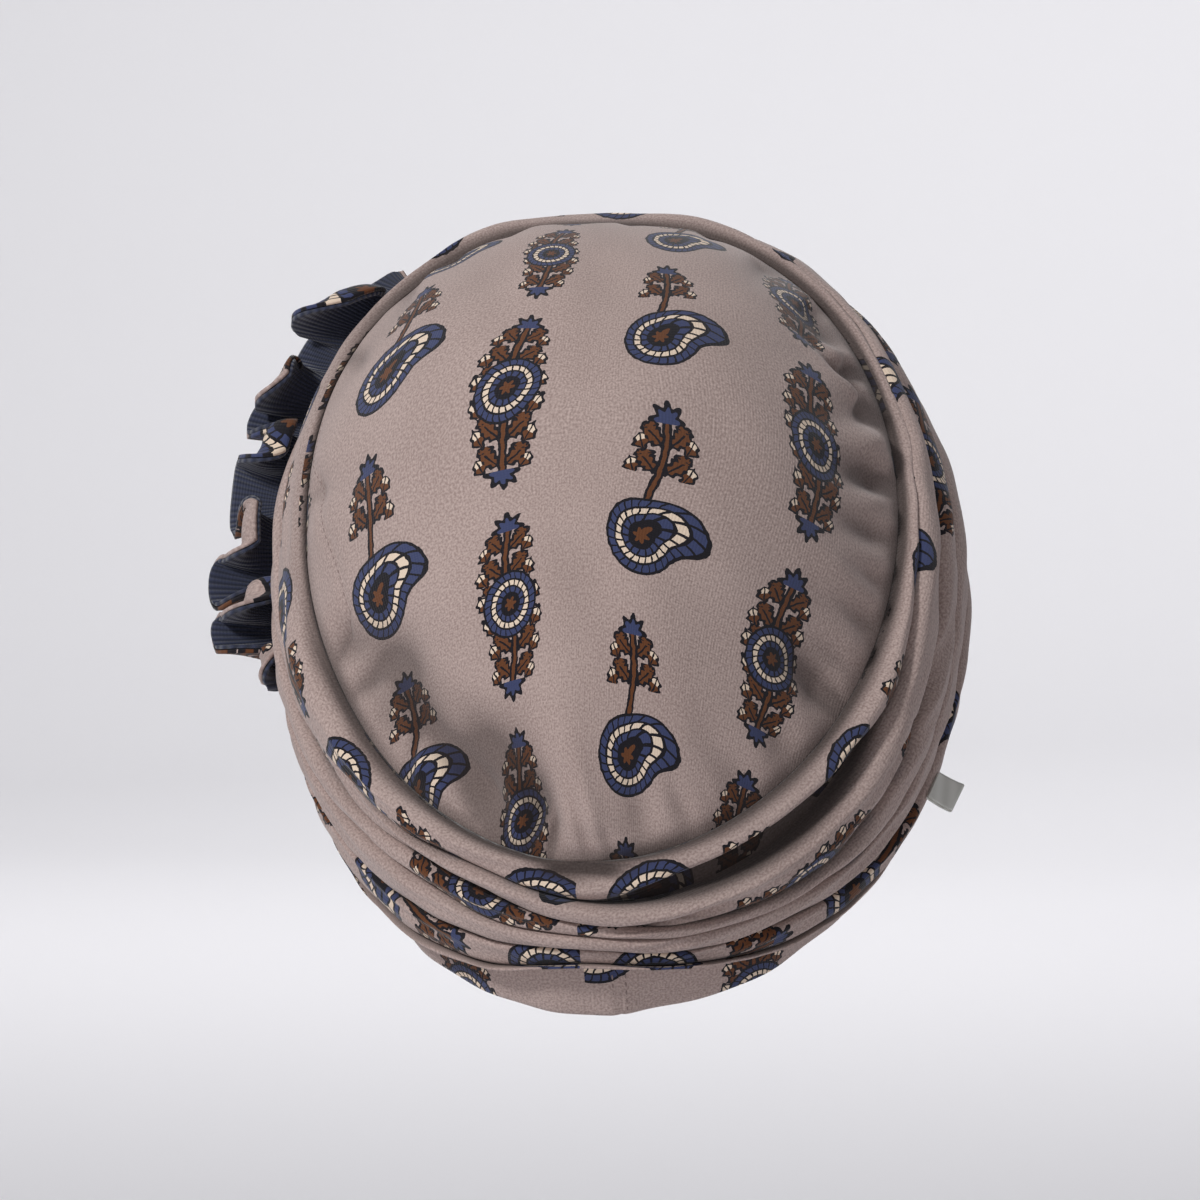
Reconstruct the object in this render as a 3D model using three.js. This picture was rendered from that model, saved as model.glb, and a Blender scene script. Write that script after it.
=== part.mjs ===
import * as THREE from "three";

// Turban headwrap. Lengths are mm, +Z is up, -Y is the face, +X is the wearer's left.
// The origin is the centre of the head opening.

const HEAD = {
  ringReach: 107, // crown edge, half length along its slope
  ringWidth: 77, // crown edge, half width
  ringBack: 37.5, // crown edge centre behind the origin
  ringUp: 73.5, // crown edge centre above the origin
  ringSlope: 49.7, // degrees that the crown edge is tipped back
  hemReach: 96.3, // head opening, half length along its slope
  hemWidth: 74, // head opening, half width
  hemSlope: 29.9, // degrees that the head opening rises to the face
  domeRise: 56, // crown above the plane of its edge
  bulge: 25, // most that the wall bulges out between the two
  relief: 5, // depth that the crown's hollows and puffs are shares of
};
const CLOTH = {
  gap: 0.3, // clearance between two pieces
  jersey: 1.6, // crown cloth with its seam allowance
  hem: 2.4, // the hem band, doubled
  wound: 2.2, // least thickness of the wound cloth, in its creases
  fold: 10, // height that the folds are shares of
  edge: 3, // turned lower edge of the wound cloth
};
const ROUNDING = {
  wall: 0.85, // power of the wall's bulge, below 1 for a fuller wall
  domeTop: 2.3, // power of the share out from the crown's centre, above 2 for a flatter top
  domeSide: 0.85, // power of the crown's rise, below 1 for steeper sides
  domeRows: 0.8, // power that crowds the crown's rows towards its edge
  domeFade: 0.05, // share at the crown's edge where its hollows and puffs fade out
  lean: 0.02, // share of the slope that a full fold leans over its neighbour
};
const TUCK = {
  crown: 0.07, // how far the crown runs under the wrap, share of the slope to the hem
  hem: 0.14, // how far the hem band runs up under the wrap, same share
};
const FRILL = {
  height: 16,
  lean: 25, // degrees that it leans over towards the nape
  sway: 7.5, // side to side swing of its free edge
  creep: 1.5, // swing of its free edge along its root, which rounds its lobes
  waves: 6.5,
  flare: 1.2, // how late the swing sets in up its height
  clear: 1.3, // root above the wrap
  ply: 1.1, // thickness of each face
  rootAngle: [222, 268], // degrees round from the nape, start and end
  rootShare: [0.03, 0.6], // share of the slope to the hem, start and end
  seat: 2.2, // height of the wrap where the frill's seam gathers it
  seatWidth: 0.16, // spread of that gathering, share of the slope to the hem
  seatEnd: 11, // degrees over which the gathering ends
  endHeight: 0.35, // height at its two ends, share of its full height
  endRise: 6, // how fast it rises from there, full heights along its whole length
};
const LABEL = {
  width: 10,
  reach: 8, // out from its root to its fold
  ply: 0.5,
  slot: 0.5, // space between its two plies
  angle: 78, // degrees round from the nape
  share: 0.7, // share of the slope to the hem
  droop: 38, // degrees from straight out towards the hem
  inset: 0.4, // root above the wrap
  spread: 0.05, // reach of the folds that its root clears, share of the slope
};
const GRID = {
  round: 64, // steps round the head
  crown: 9, // steps from the crown's centre to its edge
  wall: 2, // steps down the inside of each wound piece, clear of crown and hem band
  frill: 78, // steps along the frill
  frillRise: 3, // steps up the frill
};

// Every 30 degrees from the nape over the wearer's right:
// crown edge reach, hem reach, outward bulge, as shares of the values in HEAD.
const OUTLINE = [
  [0.96, 1, 0.08],
  [0.97, 1, 0.1],
  [0.99, 1, 0.2],
  [1, 1, 0.34],
  [1, 1, 0.64],
  [1, 1, 0.88],
  [1, 1, 1],
  [1.08, 1, 0.88],
  [1.14, 1, 0.64],
  [1.06, 0.98, 0.32],
  [0.98, 0.95, 0.1],
  [0.95, 0.97, 0.06],
];

// Creases, every 20 degrees from the nape over the wearer's right, as shares of the slope
// from the crown edge to the hem: first, second, third, fourth, lower edge of the wrap.
const CREASES = [
  [0.21, 0.32, 0.41, 0.5, 0.6],
  [0.235, 0.42, 0.48, 0.6, 0.69],
  [0.22, 0.48, 0.55, 0.68, 0.82],
  [0.16, 0.44, 0.59, 0.72, 0.84],
  [0.07, 0.28, 0.48, 0.68, 0.82],
  [0.03, 0.13, 0.32, 0.57, 0.81],
  [0.02, 0.08, 0.26, 0.51, 0.82],
  [0.025, 0.09, 0.26, 0.5, 0.83],
  [0.035, 0.12, 0.29, 0.53, 0.84],
  [0.045, 0.16, 0.34, 0.58, 0.85],
  [0.055, 0.2, 0.39, 0.62, 0.85],
  [0.08, 0.26, 0.44, 0.65, 0.85],
  [0.14, 0.32, 0.48, 0.67, 0.85],
  [0.22, 0.36, 0.51, 0.69, 0.86],
  [0.29, 0.38, 0.52, 0.7, 0.86],
  [0.25, 0.36, 0.5, 0.69, 0.86],
  [0.2, 0.31, 0.42, 0.62, 0.81],
  [0.15, 0.28, 0.41, 0.57, 0.74],
];

// Height of each fold at the same angles, from the crown edge outwards, as a share of
// CLOTH.fold.
const FOLDS = [
  [0.4, 0.6, 0.4, 0.4, 0.15],
  [0.7, 0.7, 0.5, 0.4, 0.15],
  [0.8, 0.8, 0.5, 0.4, 0.3],
  [0.7, 0.8, 0.6, 0.4, 0.4],
  [0.4, 0.7, 0.7, 0.5, 0.5],
  [0.3, 0.6, 0.7, 0.6, 0.6],
  [0.25, 0.5, 0.6, 0.7, 0.7],
  [0.3, 0.6, 0.7, 0.8, 0.8],
  [0.5, 0.7, 0.8, 0.9, 0.8],
  [0.6, 0.7, 0.8, 0.9, 0.8],
  [0.6, 0.7, 0.8, 0.8, 0.8],
  [0.6, 0.6, 0.7, 0.8, 0.8],
  [0.6, 0.6, 0.7, 0.7, 0.7],
  [0.6, 0.5, 0.6, 0.6, 0.6],
  [0.7, 0.3, 0.5, 0.5, 0.5],
  [0.7, 0.3, 0.5, 0.5, 0.4],
  [0.6, 0.4, 0.4, 0.5, 0.3],
  [0.4, 0.5, 0.4, 0.4, 0.2],
];

// Section of one fold: share across it, share of its height, share it leans over its
// neighbour on the crown side. The rolled edge stands up first, then the cloth falls away.
const FOLD_SECTION = [
  [0.03, 0.0, 0.0],
  [0.02, 0.55, 0.5],
  [0.12, 0.95, 0.8],
  [0.32, 1.0, 0.3],
  [0.62, 0.68, 0.0],
  [0.9, 0.16, 0.0],
];

// Hollows and puffs of the crown cloth: degrees round, share out from the centre,
// depth as a share of HEAD.relief (minus is a hollow), spread in degrees, spread in share.
const CROWN_RELIEF = [
  [312, 0.86, -0.9, 13, 0.1],
  [336, 0.93, -0.7, 8, 0.12],
  [352, 0.97, 0.6, 12, 0.07],
  [318, 0.68, 0.4, 10, 0.14],
  [128, 0.94, -0.7, 8, 0.08],
  [112, 0.9, 0.44, 8, 0.08],
  [96, 0.9, -0.4, 9, 0.08],
  [75, 0.9, 0.32, 8, 0.1],
  [58, 0.92, -0.52, 8, 0.1],
  [262, 0.9, 0.32, 12, 0.1],
  [238, 0.92, -0.36, 9, 0.1],
];

// Turned lower edge of the wrap: share past its lower line, share of the edge's height.
const EDGE_SECTION = [
  [-0.02, 1.0],
  [0.005, 0.6],
];

// The wrap is two wound pieces that meet in a crease: name, its folds from the crown edge.
const WOUND_PIECES = [
  { name: "inner_wrap", from: 0, to: 3 },
  { name: "outer_wrap", from: 3, to: 5 },
];

const TURN = 2 * Math.PI;
const STEP = 1e-3; // small step for directions, radians or share
const rad = THREE.MathUtils.degToRad;
const vec = (x, y, z) => new THREE.Vector3(x, y, z);
const LEFT_TO_RIGHT = vec(-1, 0, 0);
const RING = {
  centre: vec(0, HEAD.ringBack, HEAD.ringUp),
  slope: vec(0, Math.cos(rad(HEAD.ringSlope)), -Math.sin(rad(HEAD.ringSlope))),
  normal: vec(0, Math.sin(rad(HEAD.ringSlope)), Math.cos(rad(HEAD.ringSlope))),
};
const HEM = {
  centre: vec(0, 0, 0),
  slope: vec(0, Math.cos(rad(HEAD.hemSlope)), -Math.sin(rad(HEAD.hemSlope))),
};

// Smooth value of one column at an angle, through rows at equal steps round the head.
function tableAt(table, angle, column) {
  const n = table.length;
  const t = (((angle / TURN) * n) % n + n) % n;
  const i = Math.floor(t);
  const f = t - i;
  const [a, b, c, d] = [n - 1, 0, 1, 2].map((k) => table[(i + k) % n][column]);
  const slope = c - a;
  const curve = 2 * a - 5 * b + 4 * c - d;
  const bend = 3 * b - a - 3 * c + d;
  return 0.5 * (2 * b + slope * f + curve * f * f + bend * f * f * f);
}

function ellipse(ring, reach, width, angle, scale) {
  return ring.centre
    .clone()
    .addScaledVector(ring.slope, reach * Math.cos(angle) * scale)
    .addScaledVector(LEFT_TO_RIGHT, width * Math.sin(angle) * scale);
}

function crownEdge(angle) {
  const scale = tableAt(OUTLINE, angle, 0);
  return ellipse(RING, HEAD.ringReach, HEAD.ringWidth, angle, scale);
}

function hemEdge(angle) {
  const scale = tableAt(OUTLINE, angle, 1);
  return ellipse(HEM, HEAD.hemReach, HEAD.hemWidth, angle, scale);
}

// Outward direction of the wall at an angle, square to its slope.
function outward(angle) {
  const down = hemEdge(angle).sub(crownEdge(angle)).normalize();
  const round = crownEdge(angle + STEP).add(hemEdge(angle + STEP));
  round.sub(crownEdge(angle - STEP)).sub(hemEdge(angle - STEP));
  return down.cross(round).normalize();
}

// Point of the wall: angle round, share down from the crown edge, mm outward.
function wall(angle, share, out) {
  const inside = Math.min(Math.max(share, 0), 1);
  const bulge =
    HEAD.bulge * tableAt(OUTLINE, angle, 2) * Math.sin(Math.PI * inside) ** ROUNDING.wall;
  return crownEdge(angle)
    .lerp(hemEdge(angle), share)
    .addScaledVector(outward(angle), bulge + out);
}

function relief(angle, share) {
  let sum = 0;
  for (const [at, from, depth, wide, long] of CROWN_RELIEF) {
    const turn = THREE.MathUtils.euclideanModulo(angle - rad(at) + Math.PI, TURN) - Math.PI;
    const a = turn / rad(wide);
    const b = (share - from) / long;
    sum += HEAD.relief * depth * Math.exp(-a * a - b * b);
  }
  return sum;
}

// Point of the crown: angle round, share out from its centre, mm outward.
function dome(angle, share, out) {
  const rise = HEAD.domeRise * (1 - share ** ROUNDING.domeTop) ** ROUNDING.domeSide;
  const fade = Math.min(1, (1 - share) / ROUNDING.domeFade);
  return RING.centre
    .clone()
    .lerp(crownEdge(angle), share)
    .addScaledVector(RING.normal, rise + relief(angle, share) * fade)
    .addScaledVector(RING.normal, out * (1 - share ** 4))
    .addScaledVector(outward(angle), out * share ** 4);
}

// Closed mesh through loops of points; open lofts are closed by a cap at each end.
function loft(name, colour, finish, loops, closed, cap) {
  const points = [];
  const faces = [];
  const n = loops[0].length;
  loops.forEach((loop) => loop.forEach((p) => points.push(p.x, p.y, p.z)));
  const rows = closed ? loops.length : loops.length - 1;
  for (let i = 0; i < rows; i++) {
    for (let j = 0; j < n; j++) {
      const a = i * n + j;
      const b = i * n + ((j + 1) % n);
      const c = ((i + 1) % loops.length) * n + ((j + 1) % n);
      const d = ((i + 1) % loops.length) * n + j;
      faces.push(a, b, c, a, c, d);
    }
  }
  if (!closed) cap(points, faces, n, loops);
  if (signedVolume(points, faces) < 0) faces.reverse();
  const shape = new THREE.BufferGeometry();
  shape.setAttribute("position", new THREE.Float32BufferAttribute(points, 3));
  shape.setIndex(faces);
  shape.computeVertexNormals();
  const look = { color: colour, roughness: finish, metalness: 0 };
  const mesh = new THREE.Mesh(shape, new THREE.MeshStandardMaterial(look));
  mesh.name = name;
  return mesh;
}

function signedVolume(points, faces) {
  const at = (k) => vec(points[3 * k], points[3 * k + 1], points[3 * k + 2]);
  let sum = 0;
  for (let k = 0; k < faces.length; k += 3) {
    sum += at(faces[k]).dot(at(faces[k + 1]).cross(at(faces[k + 2])));
  }
  return sum;
}

// Cap for a loft that ends in a round: a fan to the middle of its end loop.
function fanCaps(points, faces, n, loops) {
  [0, loops.length - 1].forEach((row) => {
    const middle = loops[row].reduce((sum, p) => sum.add(p), vec(0, 0, 0)).divideScalar(n);
    const hub = points.length / 3;
    points.push(middle.x, middle.y, middle.z);
    for (let j = 0; j < n; j++) {
      const pair = [row * n + j, row * n + ((j + 1) % n)];
      faces.push(hub, ...(row ? pair : pair.reverse()));
    }
  });
}

// Cap for a flat loop, whose second half runs back beside its first half.
function stripCaps(points, faces, n, loops) {
  [0, loops.length - 1].forEach((row) => {
    for (let j = 0; j < n / 2 - 1; j++) {
      const [a, b] = [row * n + j, row * n + j + 1];
      const [c, d] = [row * n + n - 2 - j, row * n + n - 1 - j];
      faces.push(...(row ? [a, b, c, a, c, d] : [c, b, a, d, c, a]));
    }
  });
}

function roundTheHead(section) {
  return Array.from({ length: GRID.round }, (_, i) => section((i / GRID.round) * TURN));
}

function makeCrown() {
  const loops = [];
  const row = (share, out) => roundTheHead((angle) => dome(angle, share, out));
  const at = (k) => (k / GRID.crown) ** ROUNDING.domeRows;
  for (let k = 1; k <= GRID.crown; k++) loops.push(row(at(k), 0));
  loops.push(roundTheHead((angle) => wall(angle, TUCK.crown, 0)));
  loops.push(roundTheHead((angle) => wall(angle, TUCK.crown, -CLOTH.jersey)));
  for (let k = GRID.crown; k >= 1; k--) loops.push(row(at(k), -CLOTH.jersey));
  return loft("crown_panel", 0xbca9a5, 0.85, loops, false, fanCaps);
}

// Height of the wrap, drawn in where the seam of the frill crosses the folds.
function gathered(angle, share, height) {
  const [start, end] = FRILL.rootAngle.map(rad);
  const along = (angle - start) / (end - start);
  const beside = Math.max(start - angle, angle - end, 0) / rad(FRILL.seatEnd);
  const away = (share - THREE.MathUtils.lerp(...FRILL.rootShare, along)) / FRILL.seatWidth;
  const hold = Math.exp(-away * away - beside * beside);
  return THREE.MathUtils.lerp(height, Math.min(height, FRILL.seat), hold);
}

// Creases that bound the folds, as shares of the slope, with the crown edge first.
function creasesAt(angle) {
  return [0, ...[0, 1, 2, 3, 4].map((k) => tableAt(CREASES, angle, k))];
}

// Half the gap between two wound pieces, as a share of the slope.
function halfGap(angle) {
  return CLOTH.gap / 2 / crownEdge(angle).distanceTo(hemEdge(angle));
}

// Outer line of some folds at an angle, one after another: share, height.
function foldLine(angle, first, last) {
  const line = [];
  const creases = creasesAt(angle);
  for (let k = first; k < last; k++) {
    const start = creases[k] + (k === first && k > 0 ? halfGap(angle) : 0);
    const across = creases[k + 1] - start;
    const rise = tableAt(FOLDS, angle, k);
    for (const [at, up, lean] of FOLD_SECTION) {
      const share = start + across * at - lean * rise * ROUNDING.lean;
      line.push([share, gathered(angle, share, CLOTH.fold * rise * up)]);
    }
  }
  if (last < creases.length - 1) return [...line, [creases[last] - halfGap(angle), 0]];
  const edge = EDGE_SECTION.map(([past, up]) => [creases[last] + past, CLOTH.edge * up]);
  return [...line, ...edge];
}

// Steps down the inside of a wound piece. The crown and the hem band share their rows with
// it, so that the gap between them stays even.
function innerShares(angle, first, last) {
  const creases = creasesAt(angle);
  const low = creases[creases.length - 1];
  const top = first ? [creases[first] + halfGap(angle)] : [0, TUCK.crown];
  const toHem = [low - TUCK.hem, low - TUCK.hem / 2, low];
  const end = last < creases.length - 1 ? [creases[last] - halfGap(angle)] : toHem;
  const start = top[top.length - 1];
  const between = [];
  for (let k = 1; k < GRID.wall; k++) {
    between.push(THREE.MathUtils.lerp(start, end[0], k / GRID.wall));
  }
  return [...top, ...between, ...end];
}

function makeWrap({ name, from, to }) {
  const section = (angle) => {
    const base = CLOTH.gap + CLOTH.wound;
    const loop = foldLine(angle, from, to).map(([share, up]) => wall(angle, share, base + up));
    const inner = innerShares(angle, from, to).reverse();
    return loop.concat(inner.map((share) => wall(angle, share, CLOTH.gap)));
  };
  return loft(name, 0xb7a5a1, 0.85, roundTheHead(section), true);
}

function makeHem() {
  const section = (angle) => {
    const low = tableAt(CREASES, angle, 4);
    const shares = [low - TUCK.hem, low - TUCK.hem / 2, low, (low + 1) / 2, 1];
    const face = shares.map((share) => wall(angle, share, 0));
    const back = shares.map((share) => wall(angle, share, -CLOTH.hem));
    return [...face, ...back.reverse()];
  };
  return loft("hem_band", 0xb3a19d, 0.85, roundTheHead(section), true);
}

// Highest fold within a share of a point of the wrap.
function wrapHeight(angle, share, spread) {
  const line = foldLine(angle, 0, WOUND_PIECES.at(-1).to);
  const near = line.filter(([at]) => Math.abs(at - share) < spread);
  return CLOTH.gap + CLOTH.wound + Math.max(...near.map(([, up]) => up), 0);
}

// Middle surface of the frill: share along its root, share up from its root.
function frillPoint(along, up) {
  const angle = rad(THREE.MathUtils.lerp(...FRILL.rootAngle, along));
  const share = THREE.MathUtils.lerp(...FRILL.rootShare, along);
  const root = wall(angle, share, 0);
  const fall = FRILL.rootShare[1] - FRILL.rootShare[0];
  const round = rad(FRILL.rootAngle[1] - FRILL.rootAngle[0]);
  const ahead = wall(angle + STEP, share + (STEP * fall) / round, 0);
  const run = ahead.sub(root).normalize();
  const rise = outward(angle).applyAxisAngle(run, rad(-FRILL.lean));
  const side = run.clone().cross(rise).normalize();
  const phase = TURN * FRILL.waves * along;
  const swing = up ** FRILL.flare;
  const foot = CLOTH.gap + CLOTH.wound + FRILL.seat + FRILL.clear;
  const lift = foot + FRILL.height * up * endFade(along);
  return root
    .addScaledVector(rise, lift)
    .addScaledVector(side, FRILL.sway * swing * Math.sin(phase))
    .addScaledVector(run, -FRILL.creep * swing * Math.sin(2 * phase));
}

// The frill runs down to nothing at both ends.
function endFade(along) {
  return Math.min(1, FRILL.endHeight + FRILL.endRise * Math.min(along, 1 - along));
}

function frillNormal(along, up) {
  const run = frillPoint(along + STEP, up).sub(frillPoint(along - STEP, up));
  const rise = frillPoint(along, up + STEP).sub(frillPoint(along, Math.max(up - STEP, 0)));
  return run.cross(rise).normalize();
}

function makeFrillFace(name, colour, near, far) {
  const loops = [];
  for (let i = 0; i <= GRID.frill; i++) {
    const along = i / GRID.frill;
    const rises = Array.from({ length: GRID.frillRise + 1 }, (_, k) => k / GRID.frillRise);
    const line = (out) =>
      rises.map((up) => frillPoint(along, up).addScaledVector(frillNormal(along, up), out));
    loops.push([...line(near), ...line(far).reverse()]);
  }
  return loft(name, colour, 0.85, loops, false, stripCaps);
}

function makeLabel() {
  const angle = rad(LABEL.angle);
  const rise = outward(angle);
  const round = wall(angle + STEP, LABEL.share, 0).sub(wall(angle - STEP, LABEL.share, 0));
  round.normalize();
  const hemward = round.clone().cross(rise);
  const out = rise.multiplyScalar(Math.cos(rad(LABEL.droop)));
  out.addScaledVector(hemward, Math.sin(rad(LABEL.droop)));
  const across = out.clone().cross(round);
  const clear = wrapHeight(angle, LABEL.share, LABEL.spread) + LABEL.inset;
  const root = wall(angle, LABEL.share, clear);
  const thick = LABEL.ply * 2 + LABEL.slot;
  const fold = LABEL.reach;
  const outline = [
    [0, 0],
    [fold - thick / 2, 0],
    [fold, thick / 2],
    [fold - thick / 2, thick],
    [0, thick],
    [0, thick - LABEL.ply],
    [fold - thick / 2, thick - LABEL.ply],
    [fold - thick / 2, LABEL.ply],
    [0, LABEL.ply],
  ];
  const edge = (half) =>
    outline.map(([x, z]) =>
      root
        .clone()
        .addScaledVector(out, x)
        .addScaledVector(across, z)
        .addScaledVector(round, half * LABEL.width),
    );
  return loft("side_label", 0xa3a49c, 0.7, [edge(-0.5), edge(0.5)], false, outlineCaps(outline));
}

// Caps for a flat profile of any shape.
function outlineCaps(outline) {
  const flat = outline.map(([x, z]) => new THREE.Vector2(x, z));
  const triangles = THREE.ShapeUtils.triangulateShape(flat, []);
  return (points, faces, n, loops) => {
    [0, loops.length - 1].forEach((row) => {
      triangles.forEach((t) => {
        const face = t.map((k) => row * n + k);
        faces.push(...(row ? face : face.reverse()));
      });
    });
  };
}

const turban = new THREE.Group();
turban.name = "turban_headwrap";
turban.add(makeCrown());
WOUND_PIECES.forEach((piece) => turban.add(makeWrap(piece)));
turban.add(makeHem());
const near = CLOTH.gap / 2;
const far = near + FRILL.ply;
turban.add(makeFrillFace("ruffle_face", 0xbca9a5, near, far));
turban.add(makeFrillFace("ruffle_lining", 0x262b3c, -near, -far));
turban.add(makeLabel());

export default turban;
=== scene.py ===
import math
import bmesh
import bpy
import numpy as np
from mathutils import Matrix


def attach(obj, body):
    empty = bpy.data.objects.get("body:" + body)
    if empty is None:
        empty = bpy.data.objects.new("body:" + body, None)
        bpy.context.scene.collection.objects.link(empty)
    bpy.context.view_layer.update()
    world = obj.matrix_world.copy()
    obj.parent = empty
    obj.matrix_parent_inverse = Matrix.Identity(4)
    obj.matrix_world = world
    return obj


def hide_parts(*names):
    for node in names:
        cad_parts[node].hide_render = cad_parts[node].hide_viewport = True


# Turban headwrap, dressed over its CAD solids. Lengths are worked out in mm and set in metres.
# Angles run round the head from the nape over the wearer's right; shares run down the wall
# from the crown's edge (0) to the hem (1).

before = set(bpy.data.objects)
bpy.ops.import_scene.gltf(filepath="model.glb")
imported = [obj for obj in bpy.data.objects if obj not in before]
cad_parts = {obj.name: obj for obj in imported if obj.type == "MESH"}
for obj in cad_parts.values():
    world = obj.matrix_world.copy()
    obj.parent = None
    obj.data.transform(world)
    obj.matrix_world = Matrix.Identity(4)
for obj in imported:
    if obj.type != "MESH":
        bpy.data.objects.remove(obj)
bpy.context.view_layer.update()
bpy.ops.object.select_all(action="DESELECT")
scene = bpy.context.scene
turn = 2 * math.pi
nudge = 1e-3  # radians or share, a small step for taking slopes

head = {
    "ringReach": 107, "ringWidth": 77, "ringBack": 37.5, "ringUp": 73.5, "ringSlope": 49.7,
    "hemReach": 96.3, "hemWidth": 74, "hemSlope": 29.9, "domeRise": 56,
    "bulgePower": 0.85,  # below 1 for a fuller wall
    "domeFlat": 2.3, "domePower": 0.85,  # how flat the crown's top is, how steep its sides
}
cloth = {"gap": 0.3, "jersey": 1.6, "hem": 2.4, "wound": 2.2, "edge": 3.0}
tuck = {"crown": 0.07, "hem": 0.14}

# every 30 degrees: crown edge reach, hem reach, outward bulge of the wall
outlineTable = np.array([
    [0.96, 1, 2], [0.97, 1, 2.5], [0.99, 1, 5], [1, 1, 8.5],
    [1, 1, 16], [1, 1, 22], [1, 1, 25], [1.08, 1, 22],
    [1.14, 1, 16], [1.06, 0.98, 8], [0.98, 0.95, 2.5], [0.95, 0.97, 1.5]])

# every 20 degrees: the four creases and the lower edge of the band, as shares
creaseTable = np.array([
    [0.21, 0.32, 0.41, 0.5, 0.6], [0.235, 0.42, 0.48, 0.6, 0.69],
    [0.22, 0.48, 0.55, 0.68, 0.82], [0.16, 0.44, 0.59, 0.72, 0.84],
    [0.07, 0.28, 0.48, 0.68, 0.82], [0.03, 0.13, 0.32, 0.57, 0.81],
    [0.02, 0.08, 0.26, 0.51, 0.82], [0.025, 0.09, 0.26, 0.5, 0.83],
    [0.035, 0.12, 0.29, 0.53, 0.84], [0.045, 0.16, 0.34, 0.58, 0.85],
    [0.055, 0.2, 0.39, 0.62, 0.85], [0.08, 0.26, 0.44, 0.65, 0.85],
    [0.14, 0.32, 0.48, 0.67, 0.85], [0.22, 0.36, 0.51, 0.69, 0.86],
    [0.29, 0.38, 0.52, 0.7, 0.86], [0.25, 0.36, 0.5, 0.69, 0.86],
    [0.2, 0.31, 0.42, 0.62, 0.81], [0.15, 0.28, 0.41, 0.57, 0.74]])

# every 20 degrees: height of each of the five folds
foldTable = np.array([
    [4, 6, 4, 4, 1.5], [7, 7, 5, 4, 1.5], [8, 8, 5, 4, 3], [7, 8, 6, 4, 4],
    [4, 7, 7, 5, 5], [3, 6, 7, 6, 6], [2.5, 5, 6, 7, 7], [3, 6, 7, 8, 8],
    [5, 7, 8, 9, 8], [6, 7, 8, 9, 8], [6, 7, 8, 8, 8], [6, 6, 7, 8, 8],
    [6, 6, 7, 7, 7], [6, 5, 6, 6, 6], [7, 3, 5, 5, 5], [7, 3, 5, 5, 4],
    [6, 4, 4, 5, 3], [4, 5, 4, 4, 2]])

leftToRight = np.array([-1.0, 0.0, 0.0])
ringTip = math.radians(head["ringSlope"])
hemTip = math.radians(head["hemSlope"])
ringCentre = np.array([0, head["ringBack"], head["ringUp"]])
ringDown = np.array([0, math.cos(ringTip), -math.sin(ringTip)])
ringUpward = np.array([0, math.sin(ringTip), math.cos(ringTip)])
hemDown = np.array([0, math.cos(hemTip), -math.sin(hemTip)])


def smoothCurve(a, b, c, d, f):  # from b to c as f goes from 0 to 1, with a and d beyond
    return 0.5 * (2 * b + (c - a) * f + (2 * a - 5 * b + 4 * c - d) * f ** 2
                  + (3 * b - a - 3 * c + d) * f ** 3)


def tableAt(table, angle, column):
    rows = table[:, column]
    count = len(rows)
    place = np.mod(np.asarray(angle) / turn * count, count)
    i = np.floor(place).astype(int) % count
    f = place - np.floor(place)
    return smoothCurve(*(rows[(i + k) % count] for k in (-1, 0, 1, 2)), f)


def oval(angle, down, reach, width, column):
    scale = tableAt(outlineTable, angle, column)[..., None]
    a = np.asarray(angle)[..., None]
    return (down * reach * np.cos(a) + leftToRight * width * np.sin(a)) * scale


def crownEdge(angle):
    return ringCentre + oval(angle, ringDown, head["ringReach"], head["ringWidth"], 0)


def hemEdge(angle):
    return oval(angle, hemDown, head["hemReach"], head["hemWidth"], 1)


def unit(vectors):
    return vectors / np.linalg.norm(vectors, axis=-1, keepdims=True)


def outward(angle):
    down = hemEdge(angle) - crownEdge(angle)
    ahead = crownEdge(angle + nudge) + hemEdge(angle + nudge)
    behind = crownEdge(angle - nudge) + hemEdge(angle - nudge)
    return unit(np.cross(down, ahead - behind))


def wall(angle, share, out):
    angle, share, out = np.broadcast_arrays(np.asarray(angle, float), share, out)
    inside = np.clip(share, 0, 1)
    bulge = tableAt(outlineTable, angle, 2) * np.sin(math.pi * inside) ** head["bulgePower"]
    top = crownEdge(angle)
    return (top + (hemEdge(angle) - top) * share[..., None]
            + outward(angle) * (bulge + out)[..., None])


def smoothStep(x, low, high):
    t = np.clip((x - low) / (high - low), 0, 1)
    return t * t * (3 - 2 * t)


def angleGap(angle, degrees):  # signed degrees from a direction
    return np.mod(np.degrees(angle) - degrees + 180, 360) - 180


def near(angle, degrees, wide):  # 1 at a direction, flat-topped, 0 well away from it
    return np.exp(-(angleGap(angle, degrees) / wide) ** 4)


def offNape(angle, reach):  # 0 at the nape, where a ring of cloth closes, and 1 away from it
    return smoothStep(angle, 0, reach) * smoothStep(turn - angle, 0, reach)


def ripple(rows, along):  # sum of waves along a strip: size, waves in all, start
    return sum(size * np.sin(turn * waves * along + start) for size, waves, start in rows)


def lengthAlong(points):  # running length along rows of points, from 0
    steps = np.linalg.norm(np.diff(points, axis=-2), axis=-1)
    return np.concatenate([np.zeros(steps.shape[:-1] + (1,)), np.cumsum(steps, axis=-1)], axis=-1)


def softNoise(u, v, seed, longest, widest, terms=9):  # smooth waves, about -1 to 1
    rng = np.random.RandomState(seed)
    total = np.zeros(np.broadcast(u, v).shape)
    for _ in range(terms):
        total = total + np.sin(u * turn / (longest * rng.uniform(0.5, 1.4))
                               + v * turn / (widest * rng.uniform(0.6, 1.6)) * rng.choice([-1, 1])
                               + rng.uniform(0, turn))
    return total / math.sqrt(terms)


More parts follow.
